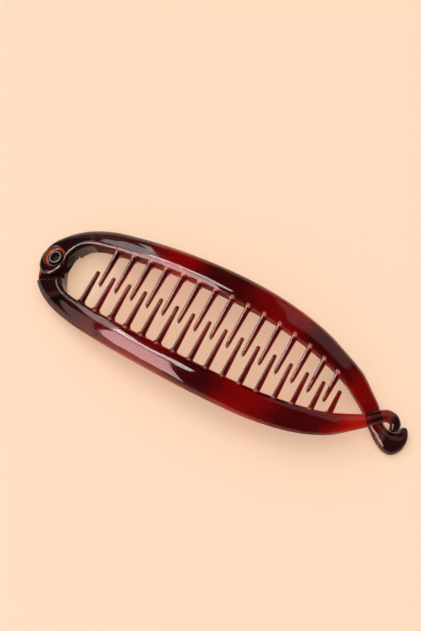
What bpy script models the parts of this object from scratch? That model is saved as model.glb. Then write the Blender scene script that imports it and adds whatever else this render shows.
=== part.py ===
# Banana hair clip: two arched comb halves that lap at a riveted hinge and hook together at the other end.
# Lengths are millimetres here and become metres in place(). +X runs from hinge to clasp, +Z is up.
import math

import bmesh
import bpy
from mathutils import Matrix, Vector

MM = 0.001

# Arch: every section stands square to a circle that is bent along X. Its top is over x = 0 before the shift that
# brings the middle of the whole clip over the origin.
ARCH_RADIUS = 202.0
SHIFT_X = -0.09
SHIFT_Y = -0.29
CREST_HEIGHT = 21.2          # top of the arch above the floor
DEPTH_AT_HINGE = 7.6         # height of the lapped stack, crest to underside

# Comb: the two rows of teeth are parallel and cross the middle line.
TOOTH_PITCH = 6.6
UPPER_TEETH = 15
LOWER_TEETH = 16
FIRST_UPPER_TOOTH_X = -49.3
LOWER_ROW_SHIFT = -2.95
TOOTH_THICKNESS = 1.5
TOOTH_RIDGE = 0.9            # width of the flat on a tooth's rounded top
TOOTH_TIP_DEPTH = 2.2
TOOTH_ROOT_DEPTH = 6.4
TOOTH_TOP_AT_ROOT = -1.0     # below the crest line
TOOTH_TOP_AT_TIP = -2.9
TIP_PAST_MIDDLE = 2.9
TIP_PAST_MIDDLE_SLOPE = 0.008
TOOTH_EMBED = 2.5            # length of a tooth inside its arm
TOOTH_COVER = 0.3            # least height of arm under a tooth's root

# Hinge: the upper ear lies on the lower one and a tubular rivet joins them.
HINGE_S = -71.8
HINGE_Y = 0.6
UPPER_EAR_RADIUS = 5.4
UPPER_EAR_SHIFT = -2.1       # from the rivet to the middle of the upper ear's top
UPPER_EAR_FOOT_RADIUS = 7.35  # the ear widens to this circle about the rivet at the lap
LOWER_EAR_RADIUS = 7.3
EAR_RIM = 1.8
UPPER_POCKET_RADIUS = 7.7
STEP_FOOT_RADIUS = 8.5
STEP_TOP_RADIUS = 9.9
STEP_RUN_ANGLE = 202.0       # the step leaves its arc as a straight line in this direction, in degrees
STEP_RUN = 8.0
OPENING_RADIUS = 10.6
OPENING_S = -56.3
OPENING_Y = 0.5
LAP_LEVEL = -3.8
LAP_GAP = 0.3
COUNTERBORE_RADIUS = 3.9
COUNTERBORE_DEPTH = 1.5
COUNTERBORE_BEVEL = 0.3
RIVET_HOLE_RADIUS = 2.35
RIVET_SHANK_RADIUS = 2.15
RIVET_BORE_RADIUS = 1.85
RIVET_HEAD_RADIUS = 2.45
RIVET_FOOT_RADIUS = 3.0
RIVET_HEAD_HEIGHT = 0.7
RIVET_FOOT_HEIGHT = 0.5
FOOT_RECESS_RADIUS = 3.4
FOOT_RECESS_DEPTH = 0.9
ROUND_SIDES = 40

# Section shapes, as shares of the width from the inner edge and of the depth from the crest. from and to: where the
# level top begins and ends. inner and outer: depth of the rounding on each side. lower: rounding underneath.
EAR_SECTION = {"from": 0.17, "to": 0.83, "inner": 0.26, "outer": 0.26, "lower": 0.05}
ARM_SECTION = {"from": 0.25, "to": 0.31, "inner": 0.16, "outer": 0.56, "lower": 0.06}
HOOK_SECTION = {"from": 0.46, "to": 0.54, "inner": 0.50, "outer": 0.50, "lower": 0.38}
INNER_STEPS = 3
OUTER_STEPS = 5
LOWER_STEPS = 2
INNER_SETBACK = 0.7          # how far the inner wall's foot is set back from the comb's opening
OUTER_DRAFT = 0.4            # how far the outer wall leans in under the arm

# Stations from hinge to clasp: the outer and inner edge of an arm in plan, its crest and underside below the arch
# circle, its form (-1 ear, 0 arm, 1 hook), and the steps from this station to the next.
COLUMNS = ("s_out", "y_out", "s_in", "y_in", "top", "bottom", "form", "steps")
UPPER_ARM = (
    (-77.0, -1.5, -66.4, -1.5, 0.0, -7.6, -1.0, 2),
    (-77.2, 1.5, -66.8, 1.0, 0.0, -7.6, -1.0, 2),
    (-76.2, 5.2, -66.1, 3.8, 0.0, -7.7, -0.9, 2),
    (-73.7, 8.9, -64.6, 6.7, 0.0, -7.9, -0.6, 2),
    (-70.5, 12.4, -62.2, 9.0, 0.0, -8.1, -0.2, 2),
    (-65.5, 15.8, -58.2, 10.7, 0.0, -8.5, 0.0, 2),
    (-56.9, 18.9, -51.8, 11.5, 0.0, -8.9, 0.0, 3),
    (-45.0, 20.9, -42.0, 12.5, 0.0, -9.1, 0.0, 3),
    (-30.0, 22.6, -28.5, 13.35, 0.0, -9.1, 0.0, 3),
    (-12.0, 23.7, -11.5, 13.75, 0.0, -9.0, 0.0, 3),
    (4.0, 23.8, 4.0, 13.6, 0.0, -8.8, 0.0, 3),
    (20.0, 22.5, 18.5, 12.7, 0.0, -8.4, 0.0, 3),
    (33.0, 20.1, 30.5, 11.0, -0.1, -7.8, 0.0, 3),
    (43.7, 16.7, 39.5, 9.0, -0.5, -7.4, 0.1, 3),
    (53.0, 13.3, 47.3, 6.8, -1.4, -7.4, 0.3, 2),
    (59.4, 9.4, 54.2, 3.7, -2.8, -7.7, 0.6, 2),
    (64.5, 6.1, 59.8, 0.9, -3.8, -8.1, 0.9, 2),
    (67.0, 3.4, 63.2, -1.6, -4.1, -8.4, 1.0, 2),
    (68.6, 1.9, 66.4, -3.6, -3.9, -8.8, 1.0, 2),
    (70.1, 1.0, 69.6, -5.6, -3.4, -9.0, 1.0, 3),
    (71.6, 0.7, 73.2, -7.2, -2.9, -9.1, 1.0, 3),
    (73.0, 0.8, 76.8, -7.1, -2.5, -9.1, 1.0, 3),
    (74.3, 1.3, 79.2, -4.6, -2.3, -8.8, 1.0, 3),
    (75.1, 1.9, 79.9, -0.9, -2.2, -8.4, 1.0, 2),
    (75.4, 2.8, 79.1, 1.9, -2.4, -7.6, 1.0, 2),
    (75.6, 3.6, 77.8, 3.9, -3.0, -6.6, 1.0, 1),
    (75.9, 4.0, 77.2, 4.3, -3.6, -5.9, 1.0, 1),
    (76.4, 4.3, 76.7, 4.4, -4.4, -5.0, 1.0, 0),
)
LOWER_ARM = (
    (-77.4, 1.9, -67.2, 1.9, 0.0, -7.6, -1.0, 2),
    (-77.5, -3.5, -66.9, -1.8, 0.0, -7.6, -1.0, 2),
    (-76.4, -7.3, -65.4, -4.9, 0.0, -7.7, -0.9, 2),
    (-73.9, -10.8, -63.6, -7.7, 0.0, -7.9, -0.6, 2),
    (-70.4, -13.9, -61.0, -9.8, 0.0, -8.1, -0.2, 2),
    (-64.9, -16.7, -57.2, -11.0, 0.0, -8.5, 0.0, 2),
    (-56.0, -19.2, -51.5, -11.7, 0.0, -8.9, 0.0, 3),
    (-45.0, -20.8, -42.5, -12.6, 0.0, -9.1, 0.0, 3),
    (-30.0, -22.2, -28.5, -13.35, 0.0, -9.1, 0.0, 3),
    (-12.0, -23.1, -11.5, -13.75, 0.0, -8.9, 0.0, 3),
    (4.0, -23.3, 4.0, -13.6, 0.0, -8.5, 0.0, 3),
    (20.0, -22.6, 18.5, -12.7, 0.0, -7.8, 0.0, 3),
    (33.0, -20.6, 30.5, -11.0, 0.0, -7.0, 0.0, 3),
    (43.5, -17.5, 39.5, -9.0, 0.0, -6.0, 0.1, 3),
    (51.8, -13.3, 47.2, -6.6, 0.0, -4.9, 0.3, 2),
    (57.6, -8.5, 54.0, -3.2, 0.0, -4.0, 0.6, 2),
    (62.1, -4.4, 59.2, -0.3, 0.0, -3.7, 0.9, 2),
    (64.6, -1.8, 61.7, 1.9, 0.0, -3.7, 1.0, 2),
    (66.6, 0.3, 64.3, 4.4, 0.0, -3.7, 1.0, 2),
    (68.4, 1.6, 67.5, 6.1, 0.0, -3.7, 1.0, 2),
    (69.8, 1.8, 71.0, 5.9, 0.0, -3.7, 1.0, 2),
    (70.3, 1.5, 73.5, 3.9, -0.1, -3.8, 1.0, 2),
    (70.5, 0.9, 74.1, 2.2, -0.5, -4.0, 1.0, 2),
    (70.8, 0.3, 74.0, 0.9, -1.0, -4.2, 1.0, 1),
    (71.3, 0.05, 73.5, 0.4, -1.5, -4.1, 1.0, 1),
    (72.2, -0.05, 72.7, 0.1, -2.6, -3.1, 1.0, 0),
)


def world(x, y, z):
    """World position in metres of a point measured from the arch's top, over the floor."""
    return Vector((x + SHIFT_X, y + SHIFT_Y, z)) * MM


def place(s, y, h):
    """World position of a point s along the arch, y across it and h above its circle."""
    angle = s / ARCH_RADIUS
    radius = ARCH_RADIUS + h
    return world(radius * math.sin(angle), y, CREST_HEIGHT + radius * math.cos(angle) - ARCH_RADIUS)


def smooth_rows(rows):
    """Rows of a station table read along a smooth curve, with each row's own number of steps to the next."""
    values = [row[:-1] for row in rows]
    middles = [Vector(((v[0] + v[2]) / 2, (v[1] + v[3]) / 2)) for v in values]
    knots = [0.0]
    for a, b in zip(middles, middles[1:]):
        knots.append(knots[-1] + (b - a).length)

    def slope(i, c):
        low = max(i - 1, 0)
        high = min(i + 1, len(values) - 1)
        return (values[high][c] - values[low][c]) / (knots[high] - knots[low])

    made = []
    for i, row in enumerate(rows[:-1]):
        span = knots[i + 1] - knots[i]
        steps = row[-1]
        for k in range(steps):
            t = k / steps
            point = []
            for c in range(len(values[0])):
                p0, p1 = values[i][c], values[i + 1][c]
                m0, m1 = slope(i, c) * span, slope(i + 1, c) * span
                point.append(
                    p0 * (2 * t**3 - 3 * t**2 + 1) + m0 * (t**3 - 2 * t**2 + t)
                    + p1 * (3 * t**2 - 2 * t**3) + m1 * (t**3 - t**2)
                )
            made.append(dict(zip(COLUMNS, point)))
    made.append(dict(zip(COLUMNS, values[-1])))
    return made


def quarter(steps):
    """Share across and share down along a quarter of an ellipse, from its side to its top."""
    for k in range(steps + 1):
        angle = math.pi / 2 * k / steps
        yield 1 - math.cos(angle), 1 - math.sin(angle)


def form_of(value):
    """Section shape for a form value between the ear's, the arm's and the hook's."""
    other = HOOK_SECTION if value > 0 else EAR_SECTION
    mix = min(abs(value), 1.0)
    return {key: ARM_SECTION[key] * (1 - mix) + other[key] * mix for key in ARM_SECTION}


def section(row):
    """World points of one section of an arm, from the inner wall over the crest to the underside."""
    form = form_of(row["form"])
    depth = row["top"] - row["bottom"]
    width = math.hypot(row["s_out"] - row["s_in"], row["y_out"] - row["y_in"])
    drafted = 1 - min(abs(row["form"]), 1.0)
    inner_foot = INNER_SETBACK * drafted / width
    outer_foot = 1 - OUTER_DRAFT * drafted / width
    outline = []
    for across, down in quarter(INNER_STEPS):
        outline.append((form["from"] * across, form["inner"] * down))
    for across, down in reversed(list(quarter(OUTER_STEPS))):
        outline.append((1 - (1 - form["to"]) * across, form["outer"] * down))
    for across, down in quarter(LOWER_STEPS):
        outline.append((outer_foot - form["lower"] * across, 1 - form["lower"] * down))
    for across, down in reversed(list(quarter(LOWER_STEPS))):
        outline.append((inner_foot + form["lower"] * across, 1 - form["lower"] * down))
    points = []
    for u, d in outline:
        s = row["s_in"] + (row["s_out"] - row["s_in"]) * u
        y = row["y_in"] + (row["y_out"] - row["y_in"]) * u
        points.append(place(s, y, row["top"] - depth * d))
    return points


def new_object(name, bm):
    bmesh.ops.recalc_face_normals(bm, faces=bm.faces)
    mesh = bpy.data.meshes.new(name)
    bm.to_mesh(mesh)
    bm.free()
    made = bpy.data.objects.new(name, mesh)
    bpy.context.scene.collection.objects.link(made)
    return made


def loft(name, rings, split=True):
    """Closed solid through rings of points, capped at both ends, with its faces split into triangles if asked."""
    bm = bmesh.new()
    loops = [[bm.verts.new(p) for p in ring] for ring in rings]
    count = len(loops[0])
    for a, b in zip(loops, loops[1:]):
        for k in range(count):
            bm.faces.new((a[k], a[(k + 1) % count], b[(k + 1) % count], b[k]))
    bm.faces.new(loops[0])
    bm.faces.new(loops[-1])
    if split:
        bmesh.ops.triangulate(bm, faces=bm.faces)
    return new_object(name, bm)


def hinge_matrix():
    """Frame at the hinge whose Z is the pin's axis, square to the arch, with its origin on the arch circle."""
    return Matrix.Translation(place(HINGE_S, HINGE_Y, 0)) @ Matrix.Rotation(HINGE_S / ARCH_RADIUS, 4, "Y")


def turned(name, profile):
    """Solid of revolution about the hinge pin's axis through closed pairs of radius and level."""
    bm = bmesh.new()
    rings = []
    for k in range(ROUND_SIDES):
        angle = 2 * math.pi * k / ROUND_SIDES
        ring = [Vector((r * math.cos(angle), r * math.sin(angle), h)) * MM for r, h in profile]
        rings.append([bm.verts.new(p) for p in ring])
    count = len(profile)
    for k in range(ROUND_SIDES):
        a, b = rings[k], rings[(k + 1) % ROUND_SIDES]
        for i in range(count):
            bm.faces.new((a[i], b[i], b[(i + 1) % count], a[(i + 1) % count]))
    made = new_object(name, bm)
    made.data.transform(hinge_matrix())
    return made


def hinge_ring(radius, level, centre=(0.0, 0.0), run=0.0):
    """World points of a circle square to the arch at the hinge.

    The centre is relative to the rivet, and run stretches the half that faces STEP_RUN_ANGLE.
    """
    turn = math.radians(STEP_RUN_ANGLE)
    points = []
    for k in range(ROUND_SIDES):
        angle = 2 * math.pi * (k + 0.5) / ROUND_SIDES + turn
        x, y = centre[0] + radius * math.cos(angle), centre[1] + radius * math.sin(angle)
        if run and math.cos(angle - turn) > 0:
            x, y = x + run * math.cos(turn), y + run * math.sin(turn)
        points.append(hinge_matrix() @ (Vector((x, y, level)) * MM))
    return points


def disc(name, levels, centre=(0.0, 0.0), run=0.0):
    """Round solid at the hinge through pairs of radius and level."""
    return loft(name, [hinge_ring(radius, level, centre, run) for radius, level in levels], split=False)


def rounded_rim(radius, rim, top):
    """Pairs of radius and level down a rounded upper edge."""
    return [(radius - rim * across, top - rim * down) for across, down in quarter(INNER_STEPS)]


def combine(target, tool, operation):
    """Applies a Boolean of the tool to the target and removes the tool."""
    bpy.context.view_layer.update()
    modifier = target.modifiers.new(operation, "BOOLEAN")
    modifier.operation = operation
    modifier.solver = "EXACT"
    modifier.object = tool
    depsgraph = bpy.context.evaluated_depsgraph_get()
    mesh = bpy.data.meshes.new_from_object(target.evaluated_get(depsgraph))
    target.modifiers.clear()
    target.data = mesh
    bpy.data.objects.remove(tool)


def root_y(x):
    """Half the width of the comb's opening at x, where the teeth leave the arms."""
    t = x / 50.0
    return 13.64 + 0.29 * t - 3.95 * t**2 - 3.35 * t**3 - 1.47 * t**4


def arch_drop(x):
    return math.sqrt(ARCH_RADIUS**2 - x**2) - ARCH_RADIUS


def underside_at(table, x):
    """Underside of an arm below the arch circle, where its inner edge passes x."""
    for a, b in zip(table, table[1:]):
        start, end = a[COLUMNS.index("s_in")], b[COLUMNS.index("s_in")]
        if start <= x < end:
            low, high = a[COLUMNS.index("bottom")], b[COLUMNS.index("bottom")]
            return low + (high - low) * (x - start) / (end - start)


def tooth(name, table, x, side):
    """One blade: upright, round-topped, deepest at its root on the arm of the given side."""
    root = root_y(x)
    room = TOOTH_TOP_AT_ROOT - TOOTH_COVER - underside_at(table, x)
    root_depth = min(TOOTH_ROOT_DEPTH, room)
    tip = -(TIP_PAST_MIDDLE + TIP_PAST_MIDDLE_SLOPE * x)
    length = root - tip
    half = TOOTH_THICKNESS / 2
    rings = []
    stations = (
        (-TOOTH_EMBED / length, 1.0),
        (0.0, 1.0),
        (0.22, 1.0),
        (0.6, 1.0),
        (1 - 0.8 / length, 1.0),
        (1 - 0.2 / length, 0.75),
        (1.0, 0.35),
    )
    for t, narrow in stations:
        y = root + (tip - root) * t
        reach = max(t, 0.0)
        top = TOOTH_TOP_AT_ROOT + (TOOTH_TOP_AT_TIP - TOOTH_TOP_AT_ROOT) * reach
        top -= (1 - narrow) * half
        depth = TOOTH_TIP_DEPTH + (root_depth - TOOTH_TIP_DEPTH) * (1 - reach) ** 1.6
        z = CREST_HEIGHT + arch_drop(x) + top
        ridge = TOOTH_RIDGE / 2 * narrow
        shoulder = z - (half - TOOTH_RIDGE / 2)
        outline = (
            (-half * narrow, z - depth), (-half * narrow, shoulder), (-ridge, z),
            (ridge, z), (half * narrow, shoulder), (half * narrow, z - depth),
        )
        rings.append([world(x + dx, y * side, dz) for dx, dz in outline])
    return loft(name, rings)


def comb_half(name, table, side, teeth, first_x):
    """One moulding: the arm with its hook and its row of teeth, before the hinge is worked into it."""
    arm = loft(name, [section(row) for row in smooth_rows(table)])
    for k in range(teeth):
        combine(arm, tooth("tooth", table, first_x + TOOTH_PITCH * k, side), "UNION")
    return arm


def trim_feet(half):
    """Cuts what would reach below the floor, which leaves the small flats that the clip rests on."""
    bm = bmesh.new()
    bm.from_mesh(half.data)
    everything = bm.verts[:] + bm.edges[:] + bm.faces[:]
    cut = bmesh.ops.bisect_plane(
        bm, geom=everything, dist=1e-7, plane_co=(0, 0, 0), plane_no=(0, 0, -1), clear_outer=True
    )
    edges = [e for e in cut["geom_cut"] if isinstance(e, bmesh.types.BMEdge)]
    bmesh.ops.holes_fill(bm, edges=edges, sides=0)
    bmesh.ops.recalc_face_normals(bm, faces=bm.faces)
    bm.to_mesh(half.data)
    bm.free()


def plastic(name, colour):
    """Glossy translucent tortoiseshell plastic."""
    made = bpy.data.materials.new(name)
    made.use_nodes = True
    shader = made.node_tree.nodes["Principled BSDF"]
    shader.inputs["Base Color"].default_value = (*colour, 1)
    shader.inputs["Roughness"].default_value = 0.08
    shader.inputs["IOR"].default_value = 1.5
    shader.inputs["Transmission Weight"].default_value = 0.5
    return made


def steel():
    made = bpy.data.materials.new("rivet_steel")
    made.use_nodes = True
    shader = made.node_tree.nodes["Principled BSDF"]
    shader.inputs["Base Color"].default_value = (0.62, 0.62, 0.6, 1)
    shader.inputs["Metallic"].default_value = 1.0
    shader.inputs["Roughness"].default_value = 0.25
    return made


def make_upper():
    """Upper half: its ear with the counterbore lies above the lap level."""
    half = comb_half("upper_comb_half", UPPER_ARM, 1, UPPER_TEETH, FIRST_UPPER_TOOTH_X)
    underside = LAP_LEVEL + LAP_GAP / 2
    below = -DEPTH_AT_HINGE - 3
    ear = [hinge_ring(UPPER_EAR_FOOT_RADIUS, underside - 1), hinge_ring(UPPER_EAR_FOOT_RADIUS, underside)]
    for radius, level in rounded_rim(UPPER_EAR_RADIUS, EAR_RIM, 0.0):
        ear.append(hinge_ring(radius, level, (0.0, UPPER_EAR_SHIFT)))
    combine(half, loft("ear", ear, split=False), "UNION")
    combine(half, disc("pocket", [(UPPER_POCKET_RADIUS, below), (UPPER_POCKET_RADIUS, underside)]), "DIFFERENCE")
    bore = [(COUNTERBORE_RADIUS, -COUNTERBORE_DEPTH), (COUNTERBORE_RADIUS, -COUNTERBORE_BEVEL)]
    bore += [(COUNTERBORE_RADIUS + COUNTERBORE_BEVEL, 0.0), (COUNTERBORE_RADIUS + COUNTERBORE_BEVEL, 2.0)]
    combine(half, disc("counterbore", bore), "DIFFERENCE")
    combine(half, disc("hole", [(RIVET_HOLE_RADIUS, below), (RIVET_HOLE_RADIUS, 2.0)]), "DIFFERENCE")
    return half


def make_lower():
    """Lower half: its ear lies below the lap level, in front of a step that clears the upper ear."""
    half = comb_half("lower_comb_half", LOWER_ARM, -1, LOWER_TEETH, FIRST_UPPER_TOOTH_X + LOWER_ROW_SHIFT)
    floor = LAP_LEVEL - LAP_GAP / 2
    below = -DEPTH_AT_HINGE - 3
    ear = disc("ear", [(LOWER_EAR_RADIUS, -DEPTH_AT_HINGE), (LOWER_EAR_RADIUS, floor)])
    opening = (OPENING_S - HINGE_S, OPENING_Y - HINGE_Y)
    combine(ear, disc("opening", [(OPENING_RADIUS, below), (OPENING_RADIUS, 2.0)], opening), "DIFFERENCE")
    combine(half, ear, "UNION")
    step = disc("step", [(STEP_FOOT_RADIUS, floor), (STEP_TOP_RADIUS, 2.0)], run=STEP_RUN)
    combine(half, step, "DIFFERENCE")
    recess = [(FOOT_RECESS_RADIUS, below), (FOOT_RECESS_RADIUS, -DEPTH_AT_HINGE + FOOT_RECESS_DEPTH)]
    combine(half, disc("recess", recess), "DIFFERENCE")
    combine(half, disc("hole", [(RIVET_HOLE_RADIUS, below), (RIVET_HOLE_RADIUS, 0.0)]), "DIFFERENCE")
    return half


def make_rivet():
    """Tubular rivet with a small rolled head in the counterbore and a flared foot under the lug."""
    head = -COUNTERBORE_DEPTH + LAP_GAP
    foot = -DEPTH_AT_HINGE + FOOT_RECESS_DEPTH - LAP_GAP
    profile = (
        (RIVET_BORE_RADIUS, foot - RIVET_FOOT_HEIGHT),
        (RIVET_FOOT_RADIUS, foot - RIVET_FOOT_HEIGHT),
        (RIVET_FOOT_RADIUS, foot),
        (RIVET_SHANK_RADIUS, foot),
        (RIVET_SHANK_RADIUS, head),
        (RIVET_HEAD_RADIUS, head),
        (RIVET_HEAD_RADIUS, head + RIVET_HEAD_HEIGHT * 0.6),
        (RIVET_HEAD_RADIUS - 0.25, head + RIVET_HEAD_HEIGHT),
        (RIVET_BORE_RADIUS + 0.1, head + RIVET_HEAD_HEIGHT),
        (RIVET_BORE_RADIUS, head + RIVET_HEAD_HEIGHT * 0.6),
    )
    return turned("hinge_rivet", profile)


def set_origin(half, point):
    """Moves an object's origin to a point without moving its mesh."""
    half.data.transform(Matrix.Translation(-point))
    half.location = point


def main():
    for old in list(bpy.data.objects):
        bpy.data.objects.remove(old)
    upper = make_upper()
    lower = make_lower()
    rivet = make_rivet()
    for half in (upper, lower):
        trim_feet(half)
    dark = plastic("tortoiseshell_upper", (0.16, 0.015, 0.012))
    darker = plastic("tortoiseshell_lower", (0.13, 0.012, 0.01))
    upper.data.materials.append(dark)
    lower.data.materials.append(darker)
    rivet.data.materials.append(steel())
    set_origin(lower, place(HINGE_S, HINGE_Y, 0))
    for made in (upper, lower, rivet):
        made.data.shade_smooth()
        made.data.set_sharp_from_angle(angle=math.radians(35))


main()
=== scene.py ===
# Looks of the banana hair clip: two fine mouldings in tortoiseshell plastic and a tubular steel rivet.
# Lengths are millimetres here, and MM makes them metres. +X runs from hinge to clasp, +Z is up.
import math

import bmesh
import bpy
from mathutils import Matrix, Vector

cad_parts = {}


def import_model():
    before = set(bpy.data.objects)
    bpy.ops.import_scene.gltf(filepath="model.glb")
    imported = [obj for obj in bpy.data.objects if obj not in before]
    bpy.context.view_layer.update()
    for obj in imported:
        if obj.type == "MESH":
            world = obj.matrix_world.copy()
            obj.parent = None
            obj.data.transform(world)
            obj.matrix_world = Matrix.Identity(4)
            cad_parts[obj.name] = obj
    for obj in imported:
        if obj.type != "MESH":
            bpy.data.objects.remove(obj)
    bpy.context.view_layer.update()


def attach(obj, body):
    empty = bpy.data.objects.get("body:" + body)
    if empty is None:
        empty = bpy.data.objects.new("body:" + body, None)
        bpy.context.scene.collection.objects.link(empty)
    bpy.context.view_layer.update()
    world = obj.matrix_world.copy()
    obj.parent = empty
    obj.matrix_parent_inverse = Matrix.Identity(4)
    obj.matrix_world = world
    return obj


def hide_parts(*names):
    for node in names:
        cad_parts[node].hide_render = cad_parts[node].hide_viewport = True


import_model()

MM = 0.001

# Arch and the clip's place over the origin, as in the CAD model.
ARCH_RADIUS = 202.0
SHIFT_X = -0.09
SHIFT_Y = -0.29
CREST_HEIGHT = 21.2
DEPTH_AT_HINGE = 7.6

# Comb.
TOOTH_PITCH = 6.6
UPPER_TEETH = 15
LOWER_TEETH = 16
FIRST_UPPER_TOOTH_X = -49.3
LOWER_ROW_SHIFT = -2.95
TOOTH_THICKNESS = 1.5
TOOTH_TIP_DEPTH = 2.2
TOOTH_ROOT_DEPTH = 6.4
TOOTH_DEPTH_POWER = 1.6      # how fast the depth falls from root to tip
TOOTH_TOP_AT_ROOT = -1.0
TOOTH_TOP_AT_TIP = -2.9
TIP_PAST_MIDDLE = 2.9
TIP_PAST_MIDDLE_SLOPE = 0.008
TOOTH_EMBED = 2.5
TOOTH_COVER = 0.3            # least plastic of the arm under a tooth's root
TOOTH_FILLET = 0.5
TOOTH_STATIONS = (0.15, 0.3, 0.45, 0.6, 0.75, 0.9)  # shares of its length
TOOTH_ROUND_STEPS = 6        # for the fillet and for the tip
ROOT_CURVE = (13.64, 0.29, -3.95, -3.35, -1.47)  # half the opening's width, in powers of x over ROOT_UNIT
ROOT_UNIT = 50.0

# Top of a tooth: a narrow facet on the -X side of the ridge, and a long slope on its +X side.
UPPER_FACET = (0.13, 2.0)    # drop, and the power of its fall: 1 is flat, 2 is round
LOWER_FACET = (0.16, 1.15)
FACET_EDGE = 0.84            # shares of the half-width
FACET_SHARES = (0.6, 0.36, 0.12, 0.0)
CORNER = ((-1.0, 0.3), (-0.98, 0.18), (-0.92, 0.07), (-0.84, 0.0))  # share of the half-width, drop
SLOPE_SHARES = ((0.3, 0.3), (0.6, 0.6), (0.86, 0.86), (0.96, 1.05), (1.0, 1.35))
TOOTH_SLOPE = 0.6            # fall of the +X side of a tooth's top, over its run
TOOTH_SPREAD = 0.7           # how much wider that side is at the root than at the tip
TOOTH_UNDERCUT = 0.16        # how far that side leans in below, over its depth

# Hinge.
HINGE_S = -71.8
HINGE_Y = 0.6
UPPER_EAR_RADIUS = 5.4
UPPER_EAR_SHIFT = -2.1
UPPER_EAR_FOOT_RADIUS = 7.35
LOWER_EAR_RADIUS = 7.3
EAR_RIM = 1.8
UPPER_POCKET_RADIUS = 7.7
STEP_FOOT_RADIUS = 8.5
STEP_TOP_RADIUS = 9.9
STEP_RUN_ANGLE = 202.0
STEP_RUN = 8.0
OPENING_RADIUS = 11.3        # 0.7 over the CAD model's, so the lower ear's tip stays under the upper arm
OPENING_S = -56.3
OPENING_Y = 0.5
LAP_LEVEL = -3.8
LAP_GAP = 0.3
COUNTERBORE_RADIUS = 3.9
COUNTERBORE_DEPTH = 1.5
COUNTERBORE_BEVEL = 0.3
RIVET_HOLE_RADIUS = 2.35
RIVET_SHANK_RADIUS = 2.15
RIVET_BORE_RADIUS = 1.85
RIVET_HEAD_RADIUS = 2.45
RIVET_FOOT_RADIUS = 3.0
RIVET_HEAD_HEIGHT = 0.7
RIVET_FOOT_HEIGHT = 0.5
FOOT_RECESS_RADIUS = 3.4
FOOT_RECESS_DEPTH = 0.9
ROUND_SIDES = 96
RIVET_ROLL_STEPS = 12
RIVET_FOOT_BEVEL = 0.1
CUT_BELOW = 3.0              # how far the cutters reach past the mouldings
CUT_ABOVE = 2.0

# Section shapes, as shares of the width from the inner edge and of the depth from the crest.
EAR_SECTION = {"from": 0.17, "to": 0.83, "inner": 0.26, "outer": 0.26, "lower": 0.05}
ARM_SECTION = {"from": 0.25, "to": 0.31, "inner": 0.16, "outer": 0.56, "lower": 0.06}
HOOK_SECTION = {"from": 0.46, "to": 0.54, "inner": 0.50, "outer": 0.50, "lower": 0.38}
INNER_STEPS = 10
OUTER_STEPS = 16
LOWER_STEPS = 5
STATION_STEPS = 5            # fine steps for each of the CAD model's steps
INNER_SETBACK = 0.7
OUTER_DRAFT = 0.4

# Remeshing gives the mouldings the soft edges and fillets of moulded plastic.
VOXEL = 0.3
SOFTEN_STEPS = 5
SHARP_ANGLE = math.radians(40)

# Stations from hinge to clasp, as in the CAD model.
COLUMNS = ("s_out", "y_out", "s_in", "y_in", "top", "bottom", "form", "steps")
UPPER_ARM = (
    (-77.0, -1.5, -66.4, -1.5, 0.0, -7.6, -1.0, 2),
    (-77.2, 1.5, -66.8, 1.0, 0.0, -7.6, -1.0, 2),
    (-76.2, 5.2, -66.1, 3.8, 0.0, -7.7, -0.9, 2),
    (-73.7, 8.9, -64.6, 6.7, 0.0, -7.9, -0.6, 2),
    (-70.5, 12.4, -62.2, 9.0, 0.0, -8.1, -0.2, 2),
    (-65.5, 15.8, -58.2, 10.7, 0.0, -8.5, 0.0, 2),
    (-56.9, 18.9, -51.8, 11.5, 0.0, -8.9, 0.0, 3),
    (-45.0, 20.9, -42.0, 12.5, 0.0, -9.1, 0.0, 3),
    (-30.0, 22.6, -28.5, 13.35, 0.0, -9.1, 0.0, 3),
    (-12.0, 23.7, -11.5, 13.75, 0.0, -9.0, 0.0, 3),
    (4.0, 23.8, 4.0, 13.6, 0.0, -8.8, 0.0, 3),
    (20.0, 22.5, 18.5, 12.7, 0.0, -8.4, 0.0, 3),
    (33.0, 20.1, 30.5, 11.0, -0.1, -7.8, 0.0, 3),
    (43.7, 16.7, 39.5, 9.0, -0.5, -7.4, 0.1, 3),
    (53.0, 13.3, 47.3, 6.8, -1.4, -7.4, 0.3, 2),
    (59.4, 9.4, 54.2, 3.7, -2.8, -7.7, 0.6, 2),
    (64.5, 6.1, 59.8, 0.9, -3.8, -8.1, 0.9, 2),
    (67.0, 3.4, 63.2, -1.6, -4.1, -8.4, 1.0, 2),
    (68.6, 1.9, 66.4, -3.6, -3.9, -8.8, 1.0, 2),
    (70.1, 1.0, 69.6, -5.6, -3.4, -9.0, 1.0, 3),
    (71.6, 0.7, 73.2, -7.2, -2.9, -9.1, 1.0, 3),
    (73.0, 0.8, 76.8, -7.1, -2.5, -9.1, 1.0, 3),
    (74.3, 1.3, 79.2, -4.6, -2.3, -8.8, 1.0, 3),
    (75.1, 1.9, 79.9, -0.9, -2.2, -8.4, 1.0, 2),
    (75.4, 2.8, 79.1, 1.9, -2.4, -7.6, 1.0, 2),
    (75.6, 3.6, 77.8, 3.9, -3.0, -6.6, 1.0, 1),
    (75.9, 4.0, 77.2, 4.3, -3.6, -5.9, 1.0, 1),
    (76.4, 4.3, 76.7, 4.4, -4.4, -5.0, 1.0, 0),
)
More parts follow.
